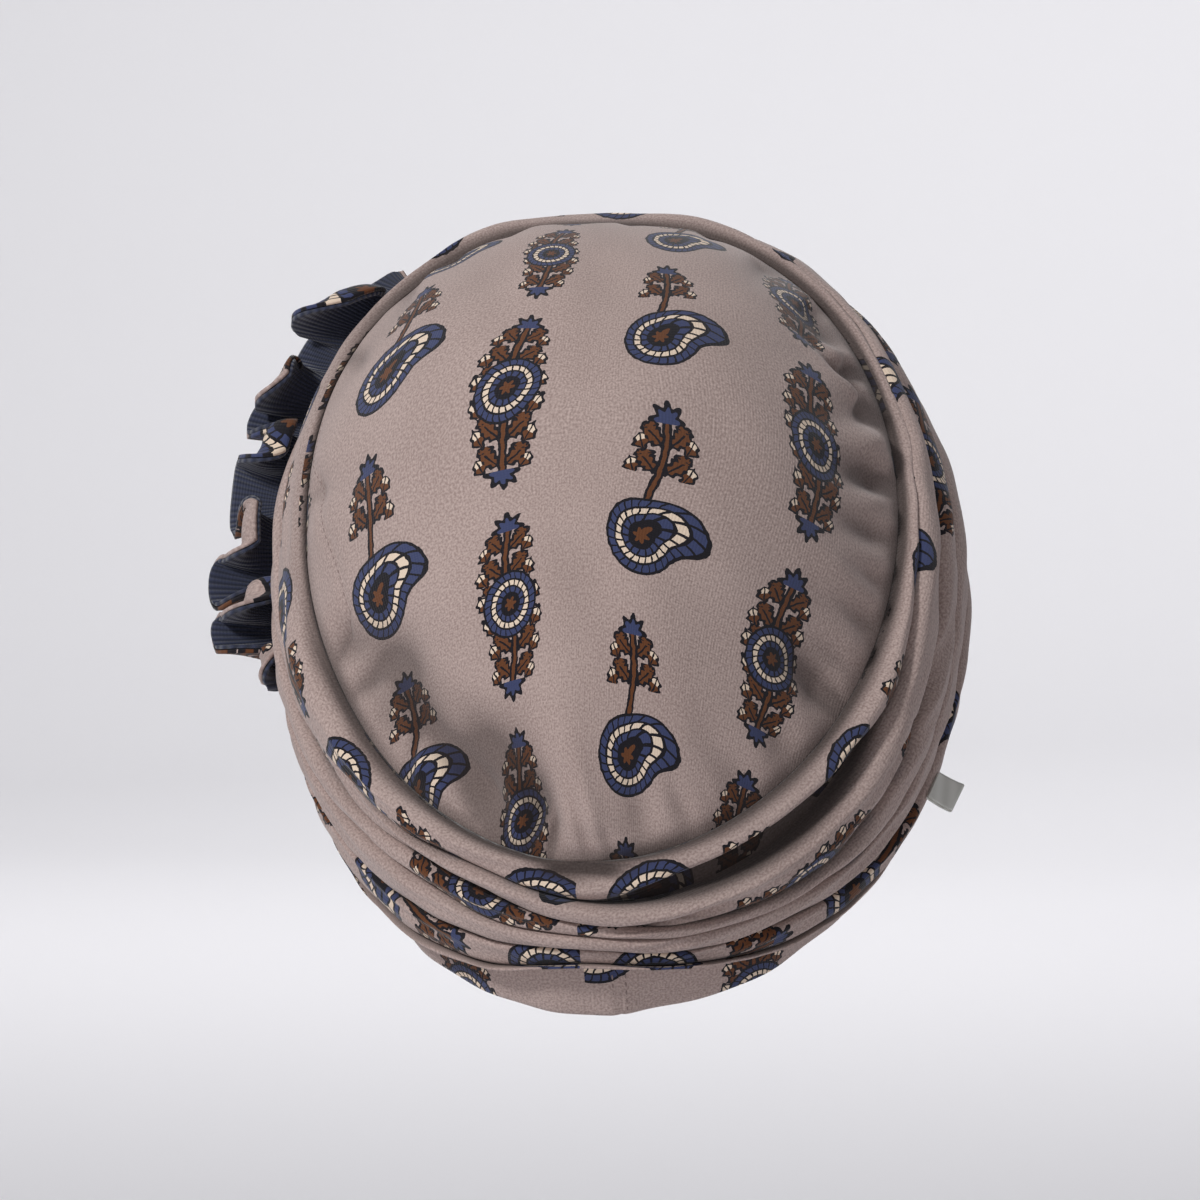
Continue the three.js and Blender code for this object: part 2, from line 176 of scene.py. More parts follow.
def gridPiece(name, columns, rows):  # a flat grid of that many points, ready to be shaped
    bpy.ops.mesh.primitive_grid_add(x_subdivisions=columns - 1, y_subdivisions=rows - 1, size=2)
    piece = bpy.context.object
    piece.name = name
    piece.data.name = name
    flat = np.empty(len(piece.data.vertices) * 3)
    piece.data.vertices.foreach_get("co", flat)
    return piece, flat.reshape(-1, 3)


def shapePiece(piece, pointsMm, uvMm, shade=None):  # moves the points, lays the cloth's map
    mesh = piece.data
    mesh.vertices.foreach_set("co", (pointsMm / 1000).ravel())
    for layer in list(mesh.uv_layers):
        mesh.uv_layers.remove(layer)
    layer = mesh.uv_layers.new(name="cloth")
    corners = np.empty(len(mesh.loops), dtype=int)
    mesh.loops.foreach_get("vertex_index", corners)
    layer.data.foreach_set("uv", (uvMm[corners] / 1000).ravel())
    if shade is not None:  # painted shade at each point, 0 to 1, darkest in creases and hollows
        mesh.attributes.new("crease", "FLOAT", "POINT").data.foreach_set("value", shade)
    mesh.update()


def faceOutward(piece, mergeAt=0.0):
    form = bmesh.new()
    form.from_mesh(piece.data)
    if mergeAt:
        bmesh.ops.remove_doubles(form, verts=form.verts, dist=mergeAt)
    bmesh.ops.recalc_face_normals(form, faces=form.faces)
    form.to_mesh(piece.data)
    form.free()


def applied(piece, kind, **values):
    bpy.context.view_layer.objects.active = piece
    modifier = piece.modifiers.new(kind.title(), kind)
    for key, value in values.items():
        setattr(modifier, key, value)
    bpy.ops.object.modifier_apply(modifier=modifier.name)


def finish(piece, material, node=None):
    piece.data.materials.clear()
    piece.data.materials.append(material)
    piece.data.shade_smooth()
    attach(piece, "root")
    if node:
        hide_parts(node)


def linear(code):
    parts = [int(code[k:k + 2], 16) / 255 for k in (1, 3, 5)]
    return [p / 12.92 if p <= 0.04045 else ((p + 0.055) / 1.055) ** 2.4 for p in parts] + [1.0]


def addNode(tree, kind, settings=None, links=None):
    node = tree.nodes.new(kind)
    for key, value in (settings or {}).items():
        setattr(node, key, value)
    for socket, source in (links or {}).items():
        target = node.inputs[socket]
        if isinstance(source, bpy.types.NodeSocket):
            tree.links.new(source, target)
        else:
            target.default_value = source
    return node


def newMaterial(name):
    material = bpy.data.materials.new(name)
    material.use_nodes = True
    material.node_tree.nodes.clear()
    return material, material.node_tree


def clothMap(tree):  # the cloth's own map, whole and in its two parts
    place = addNode(tree, "ShaderNodeUVMap", {"uv_map": "cloth"}).outputs[0]
    apart = addNode(tree, "ShaderNodeSeparateXYZ", {}, {0: place})
    return place, {"uvX": apart.outputs[0], "uvY": apart.outputs[1]}


def closeMaterial(tree, look, relief=None):  # relief: height, strength, depth in metres
    if relief:
        bump = addNode(tree, "ShaderNodeBump", {}, dict(zip(("Height", "Strength", "Distance"), relief)))
        look["Normal"] = bump.outputs[0]
    shader = addNode(tree, "ShaderNodeBsdfPrincipled", {}, look)
    addNode(tree, "ShaderNodeOutputMaterial", {}, {0: shader.outputs[0]})


def runSteps(tree, steps, values):  # each: result, operation, inputs; a tuple is a sum within
    def socket(source):
        if isinstance(source, str):
            return values[source]
        if not isinstance(source, tuple):
            return source
        operation, *inputs = source
        links = {k: socket(each) for k, each in enumerate(inputs)}
        return addNode(tree, "ShaderNodeMath", {"operation": operation}, links).outputs[0]

    for result, *step in steps:
        values[result] = socket(tuple(step))
    return values


jerseyPrint = {
    "ground": "#C6B1AA", "groundShade": "#A28D87", "blue": "#3E466B", "cream": "#F0DAC4",
    "brown": "#6A3F23", "outline": "#15121A",
    "columnPitch": 45.0, "rowPitch": 60.0,  # mm between motifs, across and along
    "knitPitch": 0.9,  # mm between wales
    "courses": 1.3,  # courses to each wale
    # each kind of leaf: mm apart, shift up, reach out, long, wide, degrees of lean, taper per mm
    "leaves": [["leaf", 7.0, 0.4, 4.9, 5.4, 2.5, 40.0, 0.012],
               ["tips", 7.0, -1.6, 8.8, 3.6, 2.2, 62.0, 0.016],
               ["side", 7.0, 2.2, 6.2, 3.4, 1.7, -18.0, 0.016]],
    # each ring of beads: inner and outer edge as shares of the drop, beads, joint
    "beads": [["outerBeads", 0.76, 0.93, 26, 0.1], ["middleBeads", 0.56, 0.7, 21, 0.13],
              ["innerBeads", 0.36, 0.51, 14, 0.14]],
    "creased": "#2A2220", "creasedShare": 0.86,  # painted shade colour and how far it goes, darkest in creases, hollows and under edges
    "inks": [  # where each lies, and its colour
        ["ground", "groundShade"], ["dark", "outline"], ["brown", "brown"], ["berry", "cream"],
        ["flowerDark", "outline"], ["flowerFill", "blue"], ["dropDark", "outline"],
        ["outerBeads", "blue"], ["middleBeads", "cream"], ["innerBeads", "blue"],
        ["petal", "brown"], ["paintedShadeMask", "creased"]],
}


def beadStep(tag, inner, outer, count, joint):
    # one ring of beads between two ring values, parted by thin dark joints
    fromMiddle = ("ABSOLUTE", ("SUBTRACT", "dropRing", (inner + outer) / 2))
    fromCentre = ("ABSOLUTE", ("SUBTRACT", ("FRACT", ("MULTIPLY", "dropCurl", count / turn)), 0.5))
    return (tag, "MULTIPLY", ("LESS_THAN", fromMiddle, (outer - inner) / 2),
            ("LESS_THAN", fromCentre, 0.5 - joint))


def leafSteps(tag, pitch, shift, reach, length, width, lean, taper):
    # pairs of pointed, notched leaves up the stem, smaller towards its top
    c, s = math.cos(math.radians(lean)), math.sin(math.radians(lean))
    size, out, up, tip, long, wide, edge = (
        tag + part for part in ("Size", "Out", "Up", "Tip", "Long", "Wide", "Edge"))
    between = ("SUBTRACT", ("FRACT", ("DIVIDE", "y", pitch)), 0.5)
    notch = ("SINE", ("MULTIPLY", tip, turn / 1.9))
    inside = ("MULTIPLY", ("LESS_THAN", edge, 0.6), ("GREATER_THAN", wide, 0.1))  # bar the vein
    return [
        (size, "MULTIPLY_ADD", "yEven", -taper, 1.0),
        (out, "MULTIPLY_ADD", size, -reach, "stemOff"),
        (up, "MULTIPLY_ADD", between, pitch, -shift),
        (tip, "MULTIPLY_ADD", up, s, ("MULTIPLY", out, c)),
        (long, "DIVIDE", ("DIVIDE", tip, length), size),
        (wide, "ABSOLUTE", ("DIVIDE", ("MULTIPLY_ADD", out, -s, ("MULTIPLY", up, c)), width)),
        (edge, "MULTIPLY_ADD", notch, 0.14, ("MULTIPLY_ADD", long, long, wide)),
        (tag + "Dark", "MULTIPLY", ("LESS_THAN", edge, 1.0), "leafZone"),
        (tag + "Fill", "MULTIPLY", inside, "leafZone"),
    ]


def makeJersey():
    # Viscose jersey, knitted fine and screen printed: matt, soft sheen at grazing angles,
    # crisp flat print on a faintly heathered ground.
    v = jerseyPrint
    material, tree = newMaterial("knittedViscoseJersey")
    place, values = clothMap(tree)
    # wobble of the print's edges, slow unevenness of the dyed ground, its fine heather
    for name, scale, detail in (("wobble", 420, 2), ("patches", 30, 3), ("heather", 1500, 1)):
        noise = addNode(tree, "ShaderNodeTexNoise", {"noise_dimensions": "2D"},
                        {"Vector": place, "Scale": scale, "Detail": detail})
        values[name] = noise.outputs[0]
    # painted shade stored on the cloth's points, 0 to 1
    crease = addNode(tree, "ShaderNodeAttribute", {"attribute_name": "crease"})
    values["crease"] = crease.outputs["Fac"]
    steps = [
        ("mmX", "MULTIPLY", "uvX", 1000.0),
        ("mmY", "MULTIPLY", "uvY", 1000.0),
        ("column", "DIVIDE", ("MULTIPLY_ADD", ("SUBTRACT", "wobble", 0.5), 1.1, "mmX"),
         v["columnPitch"]),
        ("odd", "MULTIPLY", ("FRACT", ("MULTIPLY", ("FLOOR", "column"), 0.5)), 2.0),
        ("row", "MULTIPLY_ADD", "odd", 0.5, ("DIVIDE", "mmY", v["rowPitch"])),
        # place in a motif's own cell, in mm; odd columns are mirrored
        ("x", "MULTIPLY", ("MULTIPLY", ("SUBTRACT", ("FRACT", "column"), 0.5), v["columnPitch"]),
         ("MULTIPLY_ADD", "odd", -2.0, 1.0)),
        ("y", "MULTIPLY", ("SUBTRACT", ("FRACT", "row"), 0.5), v["rowPitch"]),
        # odd columns hold a flowering sprig round a rosette, even ones a curled drop
        ("yEven", "MULTIPLY_ADD", "odd", ("SUBTRACT", ("ABSOLUTE", "y"), "y"), "y"),
        ("stemOff", "ABSOLUTE", ("MULTIPLY_ADD", ("SINE", ("MULTIPLY", "y", 0.15)), -1.3, "x")),
        ("leafEnd", "LESS_THAN", "yEven", 21.0),
        ("leafZone", "MULTIPLY", "leafEnd",
         ("GREATER_THAN", "yEven", ("MULTIPLY_ADD", "odd", -14.0, 7.0))),
        ("stemZone", "MULTIPLY", "leafEnd", ("GREATER_THAN", "yEven", -1.0)),
        ("stemDark", "MULTIPLY", "stemZone", ("LESS_THAN", "stemOff", 1.3)),
        ("stemFill", "MULTIPLY", "stemZone", ("LESS_THAN", "stemOff", 0.55)),
    ]
    for row in v["leaves"]:
        steps += leafSteps(*row)
    steps += [
        # polar form of the drop, a round where its tip is 0: its edge is where the ring is 1
        ("dropUp", "SUBTRACT", "y", ("MULTIPLY_ADD", "odd", 11.5, -11.5)),
        ("dropFar", "SQRT", ("MULTIPLY_ADD", "dropUp", "dropUp", ("MULTIPLY", "x", "x"))),
        ("dropCurl", "MULTIPLY_ADD", "dropFar", 0.045, ("ARCTAN2", "dropUp", "x")),
        ("dropAim", "COSINE", ("SUBTRACT", "dropCurl", math.radians(62))),
        ("dropLong", "MULTIPLY_ADD", ("POWER", ("MAXIMUM", "dropAim", 0.0), 6.0),
         ("MULTIPLY_ADD", "odd", -0.8, 0.8), 1.0),
        ("dropEdge", "MULTIPLY", "dropLong", ("MULTIPLY_ADD", "odd", -2.0, 11.2)),
        ("dropRing", "DIVIDE", "dropFar", "dropEdge"),
        ("dropDark", "LESS_THAN", "dropRing", 1.0),
        ("petal", "LESS_THAN", "dropRing",
         ("MULTIPLY_ADD", ("COSINE", ("MULTIPLY", "dropCurl", 6.0)), 0.05, 0.17)),
        *(beadStep(*row) for row in v["beads"]),
        # a small pointed flower closes each sprig
        ("flowerUp", "SUBTRACT", "yEven", 21.4),
        ("flowerFar", "SQRT", ("MULTIPLY_ADD", "flowerUp", "flowerUp", ("MULTIPLY", "x", "x"))),
        ("flowerPoints", "COSINE", ("MULTIPLY", ("ARCTAN2", "x", "flowerUp"), 8.0)),
        ("flowerRing", "DIVIDE", "flowerFar", ("MULTIPLY_ADD", "flowerPoints", 0.9, 4.3)),
        ("flowerZone", "GREATER_THAN", "flowerUp", -0.6),
        ("flowerDark", "MULTIPLY", "flowerZone", ("LESS_THAN", "flowerRing", 1.0)),
        ("flowerFill", "MULTIPLY", "flowerZone", ("LESS_THAN", "flowerRing", 0.66)),
        ("dark", "MAXIMUM", ("MAXIMUM", "stemDark", "leafDark"),
         ("MAXIMUM", "tipsDark", "sideDark")),
        ("brown", "MAXIMUM", ("MAXIMUM", "stemFill", "leafFill"),
         ("MAXIMUM", "tipsFill", "sideFill")),
        ("berry", "MULTIPLY", "tipsFill", ("GREATER_THAN", "tipsTip", 0.3)),
        ("wales", "SINE", ("MULTIPLY", "mmX", turn / v["knitPitch"])),
        ("courses", "SINE", ("MULTIPLY", "mmY", turn / v["knitPitch"] * v["courses"])),
        ("lift", "MULTIPLY_ADD", "heather", 1.6, ("MULTIPLY_ADD", "courses", 0.5, "wales")),
        ("shade", "MULTIPLY_ADD", "patches", 0.25, "heather"),
        # painted shade, mixed last towards the dark shade colour
        ("paintedShadeMask", "MULTIPLY", "crease", v["creasedShare"]),
    ]
    runSteps(tree, steps, values)
    shade = addNode(tree, "ShaderNodeMapRange", {}, {0: values["shade"], 1: 0.4, 2: 0.85})
    values["ground"] = shade.outputs[0]
    colour = linear(v["ground"])
    for mask, ink in v["inks"]:  # printed one over the other
        colour = addNode(tree, "ShaderNodeMix", {"data_type": "RGBA"},
                         {0: values[mask], 6: colour, 7: linear(v[ink])}).outputs[2]
    closeMaterial(tree, {"Base Color": colour, "Roughness": 0.86, "Sheen Weight": 0.25,
                         "Sheen Roughness": 0.5, "Specular IOR Level": 0.25},
                  (values["lift"], 0.22, 0.00012))
    return material


ribKnit = {"navy": "#23283A", "ridge": "#343A52", "pitch": 1.5, "stitch": 0.9}  # mm


def makeRib():
    # Cotton rib knit: soft ridges root to edge, with painted shade in the furrows and the ridges painted
    # lighter.
    v = ribKnit
    material, tree = newMaterial("ribKnittedCotton")
    values = runSteps(tree, [
        ("ridge", "MULTIPLY_ADD", ("SINE", ("MULTIPLY", "uvX", 1000 * turn / v["pitch"])), 0.5, 0.5),
        ("stitch", "SINE", ("MULTIPLY", "uvY", 1000 * turn / v["stitch"])),
        ("height", "MULTIPLY_ADD", "stitch", 0.12, "ridge"),
    ], clothMap(tree)[1])
    # painted shade: the furrows take the navy, the ridges the lighter colour
    colour = addNode(tree, "ShaderNodeMix", {"data_type": "RGBA"},
                     {0: values["ridge"], 6: linear(v["navy"]), 7: linear(v["ridge"])})
    closeMaterial(tree, {"Base Color": colour.outputs[2], "Roughness": 0.9, "Sheen Weight": 0.3,
                         "Sheen Roughness": 0.6, "Specular IOR Level": 0.2},
                  (values["height"], 0.8, 0.0004))
    return material


labelTape = {"pale": "#F1F2EC", "shade": "#E2E3DC", "pitch": 0.5}  # mm


def makeTape():
    # Woven polyester label tape: pale, a little smoother than the jersey.
    v = labelTape
    material, tree = newMaterial("wovenLabelTape")
    place = addNode(tree, "ShaderNodeTexCoord")
    weave = addNode(tree, "ShaderNodeTexWave", {"bands_direction": "DIAGONAL"},
                    {"Vector": place.outputs["Object"], "Scale": 1000 / v["pitch"] / 20,
                     "Distortion": 0.3})
    colour = addNode(tree, "ShaderNodeMix", {"data_type": "RGBA"},
                     {0: weave.outputs[1], 6: linear(v["pale"]), 7: linear(v["shade"])})
    closeMaterial(tree, {"Base Color": colour.outputs[2], "Roughness": 0.6},
                  (weave.outputs[1], 0.3, 0.0001))
    return material


threadLook = {"mauve": "#8F7C77"}


def makeThread():
    # Spun polyester sewing thread: darker than the cloth, with a soft gloss.
    material, tree = newMaterial("spunPolyesterThread")
    place = addNode(tree, "ShaderNodeTexCoord")
    twist = addNode(tree, "ShaderNodeTexNoise", {},
                    {"Vector": place.outputs["Object"], "Scale": 3000.0})
    closeMaterial(tree, {"Base Color": linear(threadLook["mauve"]), "Roughness": 0.55},
                  (twist.outputs[0], 0.3, 0.0001))
    return material


jersey = makeJersey()
rib = makeRib()
tape = makeTape()
thread = makeThread()
print("materials ready")

crownPanel = {
    "points": 210,  # along each side of the square grid
    "edgeAt": 0.93,  # where the dome ends and the tucked rim begins
    "relief": [  # degrees, share, mm, spread in degrees, spread in share
        [312, 0.86, -4.5, 13, 0.1], [336, 0.93, -3.5, 8, 0.12], [352, 0.97, 3, 12, 0.07],
        [318, 0.68, 2, 10, 0.14], [128, 0.94, -3.5, 8, 0.08], [112, 0.9, 2.2, 8, 0.08],
        [96, 0.9, -2, 9, 0.08], [75, 0.9, 1.6, 8, 0.1], [58, 0.92, -2.6, 8, 0.1],
        [262, 0.9, 1.6, 12, 0.1], [238, 0.92, -1.8, 9, 0.1],
        [121, 0.96, -3.5, 3, 0.035], [308, 0.97, -2.5, 7, 0.03], [343, 0.8, -1.4, 6, 0.16],
        [20, 0.8, 1.2, 14, 0.12], [349, 0.93, -2.2, 3, 0.05], [3, 0.985, -2, 4, 0.03]],
    # degrees, spread in degrees, mm, waves per radian, reach in from the edge, sharpness
    "gathers": [
        [352, 11, 1.5, 30, 0.09, 0.6], [121, 12, 2.6, 21, 0.16, 0.6], [100, 14, 1.4, 26, 0.15, 0.4],
        [66, 20, 1.6, 20, 0.14, 0.5], [245, 16, 1.1, 22, 0.12, 0.4], [315, 14, 0.7, 18, 0.12, 0.3],
        [190, 45, 0.7, 24, 0.08, 0.4], [30, 16, 0.6, 20, 0.1, 0.3]],
    # left seam: degrees, share
    "seam": [[251, 1], [258, 0.984], [271, 0.925], [285, 0.896], [290, 0.909], [291, 0.94],
             [294, 1]],
    "seamDepth": 0.7, "seamWidth": 1.1,  # mm
    # creases that fade towards their second end: degrees, share, degrees, share, mm, mm wide
    "creases": [
        [356, 1, 345, 0.72, 5, 5.5], [3, 1, 357, 0.84, 3.4, 2], [349, 1, 353, 0.9, 3.2, 1.6],
        [354, 1, 356, 0.93, 2.4, 1.2], [8, 1, 3, 0.93, 2.2, 1.3],
        [351, 0.97, 316, 0.86, 5.5, 7], [343, 0.99, 302, 0.95, 4, 3],
        [14, 1, 12, 0.8, 2.4, 4], [24, 1, 20, 0.9, 2, 2], [36, 1, 28, 0.82, 2.6, 4],
        [122, 1, 117, 0.84, 6, 2.8], [117, 0.93, 131, 0.8, 4.2, 2.2],
        [117, 0.93, 121, 1, 3, 1.2], [113, 1, 100, 0.72, 6.2, 5.6],
        [119, 1, 107, 0.9, 3, 1.5], [107, 1, 99, 0.9, 2.6, 1.6], [100, 1, 92, 0.74, 5.4, 4.4],
        [95, 1, 90, 0.9, 2.2, 1.5], [90, 1, 84, 0.8, 4.6, 3.4], [82, 1, 77, 0.86, 2.6, 2.4],
        [74, 1, 68, 0.78, 4.4, 3.6], [66, 1, 62, 0.88, 2, 2], [59, 1, 54, 0.78, 4.2, 4],
        [47, 1, 42, 0.86, 2.4, 3], [137, 1, 131, 0.86, 2, 2.2],
        [149, 1, 140, 0.74, 2.8, 5], [165, 1, 160, 0.86, 1.6, 2.6], [182, 1, 180, 0.88, 1.4, 2.4],
        [205, 1, 209, 0.8, 2.2, 4], [216, 1, 220, 0.9, 2, 2], [226, 1, 234, 0.8, 3.8, 3.6],
        [240, 1, 246, 0.84, 3, 2.8], [264, 0.97, 273, 0.76, 3.4, 4.2],
        [292, 0.97, 316, 0.84, 3.4, 5], [300, 1, 307, 0.84, 2.8, 2.6],
        [320, 1, 316, 0.9, 2, 2]],
    "slant": 4.0, "gatherReach": 1.7,  # how far the gathers lean, and run in
    "puff": 0.3, "puffAt": 1.9,  # cloth beside a crease, as shares of its depth and width
    "planRadius": 85.0,  # mm, of the flat plan that creases and seam are drawn on
    "drape": 0.5, "drapeWaves": [46, 60],  # mm, soft unevenness of the stretched cloth
    "edgeFade": 20, "turnPower": 4,  # relief ends at the rim, and turns outward near it
    "flatAt": 260, "flatWide": 26,  # degrees, where the crown runs on flat beside the frill
    "tucked": 6.0, "printShift": [2.0, -9.0],  # mm
    "darkest": 4.2,  # mm, depth of a hollow that takes the full painted shade
    "hollowShade": 0.7,
    "rimFrom": 0.97, "rimShade": 0.62, "rimUneven": 0.3, "rimFlat": 0.5,  # painted shade along the rim
}


def crownRelief(angle, share):
    v = crownPanel
    total = np.zeros_like(share)
    for at, place, depth, wide, long in v["relief"]:
        total += depth * np.exp(-(angleGap(angle, at) / wide) ** 2 - ((share - place) / long) ** 2)
    for at, wide, depth, waves, reach, sharp in v["gathers"]:
        window = np.exp(-(angleGap(angle, at) / wide) ** 2)
        edge = smoothStep(share, 1 - reach * v["gatherReach"], 1.0)
        phase = waves * angle + v["slant"] * share + at
        ridge = 1 - 2 * np.abs(np.sin(0.5 * phase))
        total += depth * window * edge * (np.sin(phase) * (1 - sharp) + ridge * sharp)
    flat = v["planRadius"] * share
    x, y = flat * np.sin(angle), flat * np.cos(angle)
    total += v["drape"] * softNoise(x, y, 3, *v["drapeWaves"]) * smoothStep(share, 0.1, 0.5)
    total -= v["seamDepth"] * np.exp(-(pathGap(x, y, v["seam"])[0] / v["seamWidth"]) ** 2)
    for a, s, b, t, depth, wide in v["creases"]:
        gap, place = pathGap(x, y, [[a, s], [b, t]])
        swell = np.exp(-((gap - v["puffAt"] * wide) / wide) ** 2)
        total += depth * (1 - place) * (v["puff"] * swell - np.exp(-(gap / wide) ** 2))
    return total


def pathGap(x, y, path):  # distance to a path on the crown's flat plan, and the place along it
    radius = crownPanel["planRadius"]
    corners = np.array([[radius * s * math.sin(math.radians(a)),
                         radius * s * math.cos(math.radians(a))] for a, s in path])
    nearest, place = np.full(np.shape(x), 1e9), np.zeros(np.shape(x))
    for start, end in zip(corners[:-1], corners[1:]):
        along = end - start
        t = ((x - start[0]) * along[0] + (y - start[1]) * along[1]) / (along @ along)
        t = np.clip(t, 0, 1)
        gap = np.hypot(x - start[0] - t * along[0], y - start[1] - t * along[1])
        place = np.where(gap < nearest, t, place)
        nearest = np.minimum(gap, nearest)
    return nearest, place


def dome(angle, share, out):
    rise = head["domeRise"] * np.clip(1 - share ** head["domeFlat"], 0, 1) ** head["domePower"]
    fade = np.minimum(1, (1 - share) * crownPanel["edgeFade"])
    extra = crownRelief(angle, share) * fade + out
    sideways = share ** crownPanel["turnPower"]
    return (ringCentre + (crownEdge(angle) - ringCentre) * share[..., None]
            + ringUpward * (rise + extra * (1 - sideways))[..., None]
            + outward(angle) * (extra * sideways)[..., None])


def besideFrill(angle):  # 1 where the crown runs on flat into the wound cloth
    return near(angle, crownPanel["flatAt"], crownPanel["flatWide"])


def makeCrown():
    v = crownPanel
    piece, flat = gridPiece("crownCloth", v["points"], v["points"])
    # the square grid is bent round, each ring of squares to one share of the way out
    x, y = flat[:, 0], flat[:, 1]
    reach = np.maximum(np.abs(x), np.abs(y))
    sideways = np.abs(x) >= np.abs(y)
    bend = np.where(sideways, y, x) / np.maximum(reach, 1e-9) * math.pi / 4
    around = np.where(sideways, np.where(x >= 0, math.pi / 2 + bend, 1.5 * math.pi - bend),
                      np.where(y >= 0, math.pi - bend, bend))
    angle = np.mod(around, turn)
    share = np.clip(reach / v["edgeAt"], 0, 1)
    beyond = np.clip((reach - v["edgeAt"]) / (1 - v["edgeAt"]), 0, 1)
    points = dome(angle, share, 0.0)
    rim = wall(angle, beyond * tuck["crown"], np.zeros_like(angle))
    points = np.where((beyond > 0)[:, None], rim, points)
    # the map is laid out by length from the crown's centre, as the flat cloth lies
    steps = np.linspace(0, 1, 60)[None, :]
    fan = dome(angle[:, None] + 0 * steps, steps * share[:, None], 0.0)
    length = lengthAlong(fan)[:, -1] + beyond * v["tucked"]
    uv = np.stack([np.sin(angle) * length, -np.cos(angle) * length], 1)
    # painted shade: darker in the crown's hollows, and along its rim where it goes under the wound cloth
    hollow = np.clip(-crownRelief(angle, share) / v["darkest"], 0, 1) ** 1.5
    rimShade = (v["rimShade"] + v["rimUneven"] * np.sin(3 * angle + 1) * np.sin(7 * angle)
                - v["rimFlat"] * besideFrill(angle))
    shade = np.maximum(hollow * v["hollowShade"], smoothStep(share, v["rimFrom"], 1.0) * rimShade)
    shapePiece(piece, points, uv + np.array(v["printShift"]), shade)
    faceOutward(piece)
    centre = piece.data.polygons[len(piece.data.polygons) // 2]
    if centre.normal.y < 0:
        piece.data.flip_normals()
    applied(piece, "SOLIDIFY", thickness=cloth["jersey"] / 1000, offset=-1.0)
    finish(piece, jersey, "crown_panel")
    return piece


crownCloth = makeCrown()
print("crown cloth made")

woundCloth = {
    "round": 480,  # points round the head
    "perFold": 22,
    "hidden": 13.0,  # mm of cloth folded away in each crease
    "leanPerMm": 0.0036,  # how far a rolled edge leans over its neighbour, share per mm
    # share across, share of height, lean
    "section": [[0, -0.25, 0], [0.015, 0.3, 0.9], [0.05, 0.75, 1.2], [0.11, 0.97, 1],
                [0.22, 1, 0.5], [0.42, 0.94, 0.1], [0.64, 0.74, 0], [0.83, 0.4, 0],
                [0.94, 0, 0], [1, -0.25, 0]],
    # section of the first fold where it hangs over a hollow, at the lower right
    "hollow": [[0, -0.2, 0], [0.02, 0.2, 0.5], [0.06, 0.42, 0.5], [0.13, 0.56, 0.2],
               [0.24, 0.56, 0], [0.34, 0.36, 0], [0.36, 0.12, 0], [0.34, -0.12, 0],
               [0.44, -0.35, 0], [1, -0.35, 0]],
    "hollowAt": 36, "hollowWide": 26,  # degrees
    # section of the first fold beside the frill, where the cloth runs on flat from the crown
    "calm": [[0, 0, 0], [0.04, 0.14, 0], [0.12, 0.26, 0], [0.22, 0.36, 0],
             [0.34, 0.44, 0], [0.5, 0.46, 0], [0.66, 0.4, 0], [0.83, 0.24, 0],
             [0.94, 0, 0], [1, -0.2, 0]],
    "pockets": [  # degrees, share, mm deep, spread in degrees, spread in share
        [2, 0.03, 6, 12, 0.05], [20, 0.34, 3, 14, 0.03], [335, 0.24, 3, 14, 0.035],
        [75, 0.26, 3, 14, 0.03]],
    "least": -1.8,  # mm, floor of the creases below the wound cloth's top
    "wave": 0.006,  # share that the creases wander
    "wrinkle": 0.4,  # mm
    "wrinkleWaves": [[5, 90, 9, 1.0], [11, 30, 22, 0.5]],  # seed, mm round, mm down, share
    "wallLength": 90,  # mm from the crown's edge to the hem
    "leanMost": [0.35, 0.004],  # of a fold's width, and share over that
    "firstLean": 0.55, "firstUneven": [0.3, 0.25],  # the first fold's roll is looser
    "hollowLean": 0.8,  # how much of the second fold's lean is lost over the hollow
    # the painted shade in a crease ends at this share of a fold's height, and higher on its rising face
    "shadeFrom": -0.2, "shadeTo": 0.4, "rising": 0.12, "risingShade": 0.2,
    "hollowFrom": 0.55, "hollowShade": 0.4, "flatShade": 0.75,  # painted shade over the hollow, beside the frill
    # turned lower edge: share below the last crease, share of its height
    "turned": [[-0.022, 1.0], [-0.008, 1.0], [0.002, 0.7], [0.004, 0.2], [0.0, -0.5]],
    "joinFade": 0.3,  # radians either side of the nape without wrinkles, where the ring closes
    "back": 12,  # points along the inner side
    "printAt": 8, "printStep": 40,  # mm
    "pieces": [("innerWrap", "inner_wrap", 0, 3), ("outerWrap", "outer_wrap", 3, 5)],
}
frill = {
    "height": 19.5, "sway": 6.6, "creep": 4.2, "lobes": 6.0, "clear": 1.0, "ply": 1.0,
    "rootAngle": [222.0, 268.0], "rootShare": [0.03, 0.6],
    "lean": 30.0, "leanRipple": [[9.0, 3.1, 0.0]],  # degrees over towards the nape
    # lobes that roll over: degrees, where the roll starts, degrees back for the others
    "curl": 150.0, "curlFrom": 0.25, "curlTo": 1.1, "curlBack": 15.0, "curlMost": 1.1,
    "curlPower": 1.2, "curlSteps": 25, "curlShare": 0.25, "curlStart": 0.5, "rootLean": 0.75,
    # unevenness along the frill, as rows for ripple: lean, place, depth, roll and height of lobes
    "placeRipple": [[0.021, 2.3, 1.0], [0.013, 5.1, 0.0]],
    "depthRipple": [[0.24, 1.7, 2.0], [0.16, 4.3, 0.0]],
    "startRipple": [[0.5, 1.3, 0.0]], "rollRipple": [[0.26, 2.6, 0.4], [0.12, 6.7, 0.0]],
    "heightRipple": [[0.07, 2.9, 0.0], [-0.05, 5.3, 1.0]],
    "lowSide": 0.06, "lowBetween": 0.16,  # shares of height lost on one side, between lobes
    "endHeight": 0.35, "endRise": 6.0,
    "seat": 2.2, "seatWidth": 0.16, "seatEnd": 11.0,
    "along": 620, "up": 16,  # points
}


